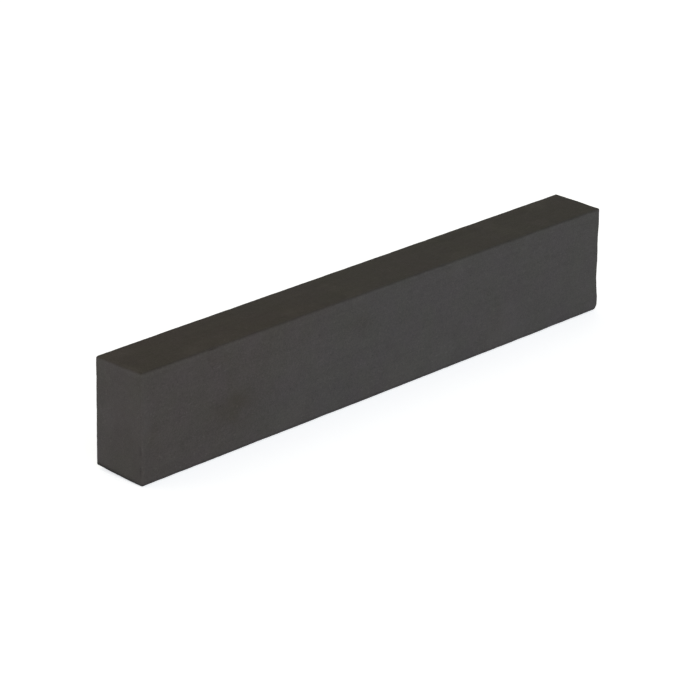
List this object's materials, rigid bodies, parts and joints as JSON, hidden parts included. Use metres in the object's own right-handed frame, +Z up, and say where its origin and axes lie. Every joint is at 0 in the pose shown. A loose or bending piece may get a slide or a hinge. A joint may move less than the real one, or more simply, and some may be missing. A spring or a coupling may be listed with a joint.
{
  "type": "charcoal stick",
  "caption": "Rectangular stick of compressed charcoal for drawing, with a crisp end and a worn one.",
  "frame": {"origin": "centre of the long narrow face that the stick stands on", "axes": "+X along the stick, from the crisp end to the worn end; +Y across its thickness, out of the back broad face; +Z up, across its height"},
  "size_m": [0.0762, 0.0072, 0.0132],
  "materials": {
    "charcoal": "matte"
  },
  "bodies": {
    "root": {"charcoal_stick": "charcoal"}
  },
  "joints": []
}
